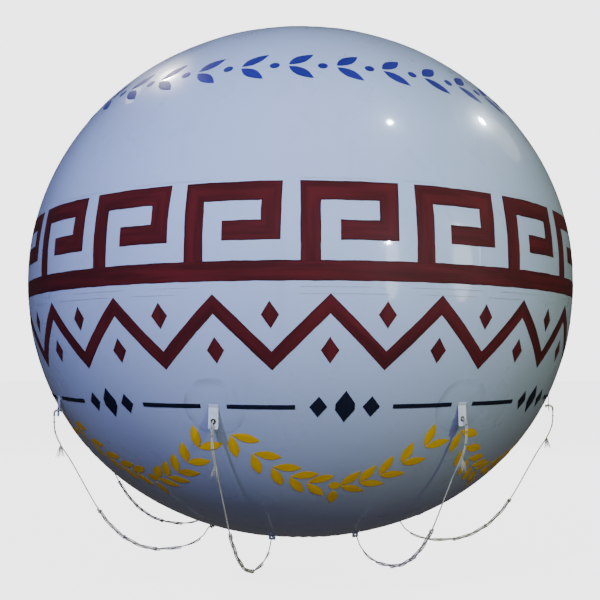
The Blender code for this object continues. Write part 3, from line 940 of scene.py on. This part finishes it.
def make_disc(name, azimuth, arc, radius, looks, relief=None):
    """A welded round patch, whose attribute edge tells its material how near its rim is.

    relief gives more lift from the distances sideways and up.
    """
    between = np.linspace(0.012, radius - PATCH_EDGE, PATCH_RINGS)
    rings = np.concatenate(([0.004], between, [radius]))[:, None]
    turns = np.radians(np.arange(0, 360, 5))[None, :]
    x = rings * np.cos(turns)
    y = rings * np.sin(turns)
    lift = PATCH_LIFT + (relief(x, y) if relief else 0.0)
    lifts = np.where(rings > radius - 0.001, 0.0, lift) + THIN_EDGE
    points = on_skin(azimuth + x / radius_at(arc + y), arc + y, lifts).reshape(-1, 3)
    faces = flipped(grid_faces(rings.size, turns.size, closed=True))
    faces.append(tuple(range(turns.size)))
    disc = make_piece(name, points, faces, looks["patch"], slot="tab")
    nearness = np.repeat(rings[:, 0] / radius, turns.size).astype(np.float32)
    disc.data.attributes.new("edge", "FLOAT", "POINT").data.foreach_set("value", nearness)
    thicken(disc, FABRIC_THICKNESS)


def flap_rows(weld_arc, hang_radius, bottom_z, weld_length, curl):
    """Rows of the flap's middle as (radius, z): welded along the patch, then hanging straight down."""
    rows = []
    for share in np.linspace(1.0, 0.0, 5):
        on = on_skin(0.0, weld_arc + weld_length * share, PATCH_LIFT + STIFFENER_LIFT + FLAP_THICKNESS / 2)
        rows.append((-on[1], on[2]))
    start_radius, start_z = rows[-1]
    for share in np.linspace(0.04, 1.0, 26):
        ease = float(smoothstep(0.0, 0.12, share))
        radius = start_radius * (1 - ease) + hang_radius * ease
        rows.append((radius + curl * share ** 4, start_z + (bottom_z - start_z) * share))
    return rows


def flap_mesh(name, rows, width, corner, hole_z, hole_radius, looks):
    """The flap at azimuth 0 as a thick sheet with round lower corners and its hole."""
    across = np.linspace(-1, 1, 15)
    top, bottom = rows[0][1], rows[-1][1]
    points = []
    for radius, z in rows:
        rise = max(corner - (z - bottom), 0.0)
        half = width / 2 - (corner - sqrt(max(corner ** 2 - rise ** 2, 0.0)))
        for a in across:
            cup = FLAP_CUP * a * a * min((top - z) / 0.05, 1.0)
            points.append((a * half, -(radius + cup), z))
    flap = make_piece(name, points, grid_faces(len(rows), len(across)), looks["tab"])
    hole = bpy.data.meshes.new("hole")
    bm = bmesh.new()
    bmesh.ops.create_cone(
        bm,
        cap_ends=True,
        segments=48,
        radius1=hole_radius,
        radius2=hole_radius,
        depth=0.02,
        matrix=Matrix.Translation((0, -rows[-1][0], hole_z)) @ Matrix.Rotation(pi / 2, 4, "X"),
    )
    bm.to_mesh(hole)
    bm.free()
    cutter = add_object("hole", hole)
    modifiers = flap.modifiers
    set_up(modifiers.new("thickness", "SOLIDIFY"), thickness=FLAP_THICKNESS, offset=0.0)
    set_up(modifiers.new("hole", "BOOLEAN"), operation="DIFFERENCE", solver="EXACT", object=cutter)
    bevel = set_up(modifiers.new("worn edges", "BEVEL"), width=FLAP_BEVEL, segments=2)
    set_up(bevel, limit_method="ANGLE", angle_limit=radians(50))
    apply_modifiers(flap)
    bpy.data.objects.remove(cutter)
    mesh = flap.data
    bpy.data.objects.remove(flap)
    return mesh


def hang_flap(mesh, name, azimuth, node):
    """A copy of a flap made at azimuth 0, turned about the envelope's axis to its own azimuth."""
    copy = mesh.copy()
    copy.transform(Matrix.Rotation(azimuth, 4, "Z"))
    flap = add_object(name, copy)
    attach(flap, "balloon")
    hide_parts(node)


def make_load_tabs(looks):
    arc = arc_at_z(TAB_WELD_Z)
    rows = flap_rows(arc, FLAP_MIDDLE, FLAP_BOTTOM_Z, FLAP_WELD_LENGTH, FLAP_CURL)
    flap = flap_mesh("flap", rows, FLAP_WIDTH, FLAP_CORNER, EYELET_Z, EYELET_HOLE, looks)
    outward = Matrix.Rotation(pi / 2, 4, "X")
    for i in range(TABS):
        azimuth = tab_azimuth(i)
        make_disc(f"tab_patch_{i + 1}", azimuth, arc, PATCH_RADIUS, looks, stiffener)
        hang_flap(flap, f"tab_flap_{i + 1}", azimuth, f"load_tab_{i + 1}")
        place = Matrix.Rotation(azimuth, 4, "Z") @ Matrix.Translation((0, -FLAP_MIDDLE, EYELET_Z)) @ outward
        ring = lathe(EYELET_PROFILE, 56, place)
        eyelet = make_piece(f"eyelet_ring_{i + 1}", *ring, looks["metal"], slot="eyelet")
        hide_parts(f"eyelet_{i + 1}")


def make_keeper_tabs(looks):
    arc = arc_at_radius(KEEPER_RADIUS_AT, below=True)
    bottom_z = float(height_at(arc)) - KEEPER_DROP
    rows = flap_rows(arc, KEEPER_RADIUS_AT, bottom_z, KEEPER_WELD_LENGTH, 0.0)
    flap = flap_mesh("keeper", rows, KEEPER_WIDTH, KEEPER_CORNER, KEEPER_HOLE_Z, KEEPER_HOLE, looks)
    for i in range(TABS):
        azimuth = tab_azimuth(i)
        make_disc(f"keeper_patch_{i + 1}", azimuth, arc, KEEPER_PATCH_RADIUS, looks)
        hang_flap(flap, f"keeper_flap_{i + 1}", azimuth, f"keeper_tab_{i + 1}")


# Valve
def finish_valve(frame, looks):
    """The valve's own solids stay, with finished materials."""
    for node, look in (("valve_body", "valve"), ("valve_cap", "valve_cap")):
        frame["nodes"][node].data.materials.clear()
        frame["nodes"][node].data.materials.append(looks[look])


def make_valve_trim(looks):
    """Screws in the flange, apart from where the hinge is, and a bead round the neck."""
    screws = Shape()
    for k in range(SCREWS):
        place = on_circle(SCREW_CIRCLE, TURN * (k + 0.5) / SCREWS, VALVE_FLANGE_UNDER)
        if abs(place.x) > HINGE_HALF_WIDTH or place.y < 0.0:
            screws.add(*lathe(SCREW_PROFILE, 20, Matrix.Translation(place)))
    screws.piece("valve_screws", looks["metal"], slot="valve")
    bead = []
    for k in range(9):
        turn = pi * k / 8
        out = VALVE_NECK + BEAD_CLEARANCE + BEAD_RADIUS * sin(turn)
        bead.append((out, VALVE_FLANGE_UNDER - BEAD_DROP + BEAD_RADIUS * cos(turn)))
    make_piece("valve_neck_bead", *lathe(bead, 64), looks["valve"], slot="valve")


def make_cap_grip(looks):
    """Ribs round the cap, apart from at its hinge, and a raised ring under it."""
    grip = Shape()
    for k in range(RIBS):
        place = on_circle(CAP_RADIUS, TURN * k / RIBS, CAP_UNDER + RIB_RAISE)
        if place.y < RIBS_END_Y:
            grip.add(*lathe(RIB_PROFILE, 8, Matrix.Translation(place)))
    grip.add(*lathe(RIM_PROFILE, 64))
    grip.piece("valve_cap_grip", looks["valve_cap"], body="valve_cap", slot="valve_cap")


# Painted ornament
def miter(path, k, corner):
    """Sideways direction at a vertex of a path, lengthened at a corner so that the stroke keeps its width."""
    before = path[k] - path[k - 1] if k > 0 else path[1] - path[0]
    after = path[k + 1] - path[k] if k < len(path) - 1 else before
    if not corner:
        before = after
    n1 = np.array((before[1], -before[0])) / np.hypot(*before)
    n2 = np.array((after[1], -after[0])) / np.hypot(*after)
    both = n1 + n2
    return both / max(both @ n1, 0.3)


def stroke_rows(path, margin, straight):
    """Middle points and miters of a stroke's rows. Rows keep a margin from the corners."""
    lengths = np.hypot(*np.diff(path, axis=0).T)
    last = len(lengths) - 1
    middle, miters = [], []
    for k, length in enumerate(lengths):
        steps = max(1, ceil(length / PAINT_STEP)) if straight else 1
        near = margin if k > 0 else 0.0
        far = length - (margin if k < last else 0.0)
        stations = [length * step / steps for step in range(steps)]
        if straight and k == 0:
            stations.insert(1, PAINT_END_ROW)
        if straight and k == last:
            stations.append(length - PAINT_END_ROW)
        for station in stations:
            if station > 0 and not near < station < far:
                continue
            middle.append(path[k] + (path[k + 1] - path[k]) * station / length)
            miters.append(miter(path, k, station == 0))
    middle.append(path[-1])
    miters.append(miter(path, last + 1, True))
    return np.array(middle), np.array(miters)


class Paint(Shape):
    """Brush strokes on the fabric, gathered into one piece of one colour."""

    def __init__(self, seed, lift=PAINT_LIFT):
        super().__init__()
        self.strokes = []
        self.lift = lift
        self.random = random.Random(seed)

    def stroke(self, azimuth, arc, path, half_width, straight=True, ring_radius=None):
        """A stroke along a path of (sideways, up) in metres round a spot.

        half_width is a function of the share of its length. A straight path is cut into short steps.
        A ring_radius turns sideways into angle for a stroke that goes right round.
        """
        middle, miters = stroke_rows(np.array(path, float), half_width(0.5), straight)
        done = running_total(np.hypot(*np.diff(middle, axis=0).T))
        phase = self.random.uniform(0, 6.28)
        wobble = 1 + 0.018 * np.sin(31 * done + phase) + 0.012 * np.sin(77 * done + 2 * phase)
        widths = np.array([half_width(t) for t in done / done[-1]]) * wobble
        sideways = middle[:, None, 0] + miters[:, None, 0] * widths[:, None] * PAINT_ACROSS[None, :]
        up = middle[:, None, 1] + miters[:, None, 1] * widths[:, None] * PAINT_ACROSS[None, :]
        azimuths = azimuth + sideways / (ring_radius or radius_at(arc + up))
        points = on_skin(azimuths, arc + up, PAINT_LIFTS[None, :] * self.lift).reshape(-1, 3)
        self.add(points, grid_faces(len(middle), len(PAINT_ACROSS)))
        along = done + self.random.uniform(0, 40)
        lane = self.random.uniform(0, 40)
        for a, width in zip(along, widths):
            self.strokes.extend((a, lane + width * c, abs(c)) for c in PAINT_ACROSS)

    def dot(self, azimuth, arc, x, y, radius):
        self.stroke(azimuth, arc, oval_path(x, y, 0.0, 2 * radius), round_width(radius), straight=False)

    def leaf(self, azimuth, arc, x, y, angle, length, width):
        self.stroke(azimuth, arc, oval_path(x, y, angle, length), leaf_width(width / 2), straight=False)

    def piece(self, name, material):
        piece = super().piece(name, material)
        attribute = piece.data.attributes.new("stroke", "FLOAT_VECTOR", "POINT")
        attribute.data.foreach_set("vector", np.array(self.strokes, np.float32).ravel())
        thicken(piece, PAINT_THICKNESS)


def oval_path(x, y, angle, length, steps=8):
    """Points along the middle of an oval, closer together near its ends."""
    offsets = -0.5 * length * np.cos(np.pi * np.arange(steps + 1) / steps)
    return [(x + s * cos(angle), y + s * sin(angle)) for s in offsets]


def round_width(radius):
    return lambda t: max(radius * sqrt(max(1 - (2 * t - 1) ** 2, 0.0)), THINNEST)


def leaf_width(half):
    return lambda t: max(half * sin(pi * t) ** 0.85 * (1.12 - 0.3 * t), THINNEST)


def diamond_width(half):
    return lambda t: max(half * (1 - abs(2 * t - 1)), THINNEST)


def even_width(half):
    return lambda t: half


def paint_key(looks):
    """A running key round the equator: a base band with a hook on each unit."""
    low, high = (arc_at_z(z) for z in KEY_BAND)
    stroke = (high - low) / 5
    brush = even_width(stroke / 2)
    unit = TURN / KEY_UNITS
    wide = unit * EQUATOR / 6
    paint = Paint(11)
    base = [(0, stroke / 2), (TURN * EQUATOR - RING_GAP, stroke / 2)]
    paint.stroke(RING_START, low, base, brush, ring_radius=EQUATOR)
    hook = [
        (wide * 0.5, stroke - HOOK_OVERLAP),
        (wide * 0.5, stroke * 4.5),
        (wide * 4.5, stroke * 4.5),
        (wide * 4.5, stroke * 2.5),
        (wide * 2.0, stroke * 2.5),
    ]
    for i in range(KEY_UNITS):
        paint.stroke(i * unit, low, hook, brush)
    paint.piece("paint_key_band", looks["maroon"])


def paint_zigzag(looks):
    """A zigzag band below the key, with a diamond in each of its bays."""
    low, high = (arc_at_z(z) for z in ZIGZAG_BAND)
    middle = (low + high) / 2
    radius = float(radius_at(middle))
    unit = TURN / ZIGZAG_UNITS
    reach = (high - low - ZIGZAG_STROKE) / 2
    half_unit = unit * radius / 2
    zigzag = Paint(12)
    path = [(0, 0)]
    path += [(half_unit * (k + 0.5), reach if k % 2 == 0 else -reach) for k in range(2 * ZIGZAG_UNITS)]
    path.append((TURN * radius - RING_GAP, 0))
    zigzag.stroke(RING_START, middle, path, even_width(ZIGZAG_STROKE / 2), ring_radius=radius)
    zigzag.piece("paint_zigzag_band", looks["maroon"])
    diamonds = Paint(13)
    for i in range(ZIGZAG_UNITS):
        for x, y in ((half_unit / 2, -reach * DIAMOND_SHIFT), (half_unit * 1.5, reach * DIAMOND_SHIFT)):
            diamond = [(x, y - DIAMOND_HALF_HEIGHT), (x, y + DIAMOND_HALF_HEIGHT)]
            diamonds.stroke(i * unit, middle, diamond, diamond_width(DIAMOND_HALF_WIDTH))
    diamonds.piece("paint_diamonds", looks["maroon"])


def paint_rules(looks):
    """Between each two tabs: three lozenges with a rule on either side."""
    arc = arc_at_z(RULE_Z)
    radius = float(radius_at(arc))
    rules = Paint(14, RULE_LIFT)
    for i in range(TABS):
        azimuth = tab_azimuth(i) + TAB_ANGLE / 2
        for side in (-1, 1):
            rule = [(side * x, 0) for x in RULE_SPAN]
            rules.stroke(azimuth, arc, rule, even_width(RULE_WIDTH / 2), ring_radius=radius)
        for x, tall, wide in LOZENGES:
            rules.stroke(azimuth, arc, [(x, -tall), (x, tall)], diamond_width(wide))
    rules.piece("paint_rules", looks["navy"])


def paint_wreath(looks):
    """Pairs of leaves with a berry between, right round the upper part."""
    arc = arc_at_z(WREATH_Z)
    unit = TURN / WREATH_PAIRS
    x, y = WREATH_LEAF_PLACE
    wreath = Paint(15)
    for i in range(WREATH_PAIRS):
        for side in (-1, 1):
            wreath.leaf(i * unit, arc, x, side * y, side * WREATH_LEAN, *WREATH_LEAF)
        wreath.dot(i * unit, arc, BERRY_SHIFT, 0.0, BERRY_RADIUS)
    wreath.piece("paint_wreath", looks["blue"])


def paint_festoons(looks):
    """Leaf garlands that hang in a curve from tab to tab, with a drop at each lowest point."""
    high, low = arc_at_z(FESTOON_HIGH_Z), arc_at_z(FESTOON_LOW_Z)
    reach = TAB_ANGLE / 2 * FESTOON_REACH
    garland = Paint(16)
    for i in range(TABS):
        for k in range(FESTOON_STATIONS):
            u = 2 * k / (FESTOON_STATIONS - 1) - 1
            azimuth = tab_azimuth(i) + TAB_ANGLE / 2 + u * reach
            arc = low + (high - low) * u * u
            if k == (FESTOON_STATIONS - 1) // 2:
                garland.dot(azimuth, arc, 0.0, 0.0, KNOB_RADIUS)
                garland.leaf(azimuth, arc, 0.0, DROP_SHIFT, -pi / 2, *DROP_LEAF)
                continue
            slope = atan2(2 * (high - low) * u, reach * float(radius_at(arc)))
            lean = 1 if u > 0 else -1
            for side in (-lean, lean):
                angle = slope + side * FESTOON_LEAN
                if lean < 0:
                    angle += pi
                x = -FESTOON_SPREAD * side * sin(slope)
                y = FESTOON_SPREAD * side * cos(slope)
                garland.leaf(azimuth, arc, x, y, angle, *FESTOON_LEAF)
    garland.piece("paint_festoons", looks["gold"])


def paint_guides(looks):
    """Thin broken layout lines that the painter left."""
    guides = Paint(17)
    for z in GUIDE_LINES:
        azimuth = 0.0
        while azimuth < TURN - 0.3:
            length = guides.random.uniform(*GUIDE_LENGTHS)
            guides.stroke(azimuth, arc_at_z(z), [(0, 0), (length, 0)], even_width(THINNEST))
            azimuth += length / EQUATOR + guides.random.uniform(*GUIDE_GAPS)
    guides.piece("paint_guide_lines", looks["guide"])


# Stage
def make_camera():
    data = bpy.data.cameras.new("camera")
    set_up(data, lens=CAMERA_LENS, sensor_width=36.0, shift_x=CAMERA_SHIFT)
    camera = add_object("camera", data)
    camera.location = CAMERA_PLACE
    camera.rotation_euler = (pi / 2 + CAMERA_PITCH, 0.0, 0.0)
    bpy.context.scene.camera = camera


def make_floor():
    """A plain pale floor with one side, so that a view from under it shows the balloon's base."""
    look = Look("studio_floor", (0.40, 0.40, 0.41), 0.7)
    fill(look.shader, {"Emission Color": (1.0, 1.0, 1.01, 1.0), "Emission Strength": FLOOR_GLOW})
    underside = look.node("ShaderNodeNewGeometry", {}).outputs["Backfacing"]
    clear = look.node("ShaderNodeBsdfTransparent", {}).outputs["BSDF"]
    sides = look.node("ShaderNodeMixShader", {"Fac": underside, 1: look.shader.outputs["BSDF"], 2: clear})
    fill(look.tree.nodes["Material Output"], {"Surface": sides.outputs["Shader"]})
    mesh = bpy.data.meshes.new("studio_floor")
    bm = bmesh.new()
    bmesh.ops.create_circle(bm, cap_ends=True, segments=96, radius=FLOOR_RADIUS)
    bmesh.ops.translate(bm, vec=(0, 0, FLOOR_Z), verts=bm.verts)
    bm.to_mesh(mesh)
    bm.free()
    mesh.materials.append(look.material)
    floor = add_object("studio_floor", mesh)
    set_up(floor, visible_diffuse=False, visible_glossy=False, visible_shadow=False)


def make_world():
    """Dim surroundings for the reflections, and a white backdrop that only the camera sees."""
    world = set_up(bpy.data.worlds.new("studio"), use_nodes=True)
    nodes = world.node_tree.nodes
    dim = nodes["Background"]
    fill(dim, {"Color": (*SURROUNDINGS, 1.0)})
    backdrop = nodes.new("ShaderNodeBackground")
    fill(backdrop, {"Color": (*BACKDROP, 1.0)})
    seen = nodes.new("ShaderNodeLightPath").outputs["Is Camera Ray"]
    mix = nodes.new("ShaderNodeMixShader")
    fill(mix, {"Fac": seen, 1: dim.outputs["Background"], 2: backdrop.outputs["Background"]})
    fill(nodes["World Output"], {"Surface": mix.outputs["Shader"]})
    bpy.context.scene.world = world


def add_light(name, kind, place, power, colour, glossy):
    """A light that works on the glossy reflections alone or on the matt surfaces alone."""
    data = set_up(bpy.data.lights.new(name, kind), energy=power, color=colour)
    light = set_up(add_object(name, data), location=place, visible_camera=False)
    return set_up(light, visible_glossy=glossy, visible_diffuse=not glossy)


def add_panel(name, place, size, power, colour, glossy):
    """An oval panel that faces the balloon's middle."""
    light = add_light(name, "AREA", place, power, colour, glossy)
    set_up(light.data, shape="ELLIPSE", size=size[0], size_y=size[1])
    light.rotation_euler = (-Vector(place)).to_track_quat("-Z", "Y").to_euler()


def make_lights():
    for i, (place, radius, power, colour) in enumerate(LAMPS):
        lamp = add_light(f"lamp_{i + 1}", "POINT", place, power, colour, glossy=True)
        lamp.data.shadow_soft_size = radius
    for name, azimuth, elevation, size, power, colour in KEYS:
        up = radians(elevation)
        out = KEY_DISTANCE * cos(up)
        place = in_plane(radians(azimuth), out, KEY_DISTANCE * sin(up))
        add_panel(name, place, size, power, colour, glossy=False)
    for name, place, size, power, colour in WINDOWS:
        add_panel(name, place, size, power, colour, glossy=True)


def main():
    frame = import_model()
    make_camera()
    looks = make_materials()
    route = Route()
    for number in range(1, TABS + 1):
        LoadLine(number, route, looks).make()
    make_gores(looks)
    make_seams(looks)
    make_end_patch("crown_patch_skin", False, CROWN_CENTRE_RADIUS, looks, "crown_patch")
    make_end_patch("base_patch_skin", True, VALVE_BORE + 0.0005, looks, "base_patch")
    make_load_tabs(looks)
    make_keeper_tabs(looks)
    finish_valve(frame, looks)
    make_valve_trim(looks)
    make_cap_grip(looks)
    for paint in (paint_key, paint_zigzag, paint_rules, paint_wreath, paint_festoons, paint_guides):
        paint(looks)
    make_floor()
    make_world()
    make_lights()


main()
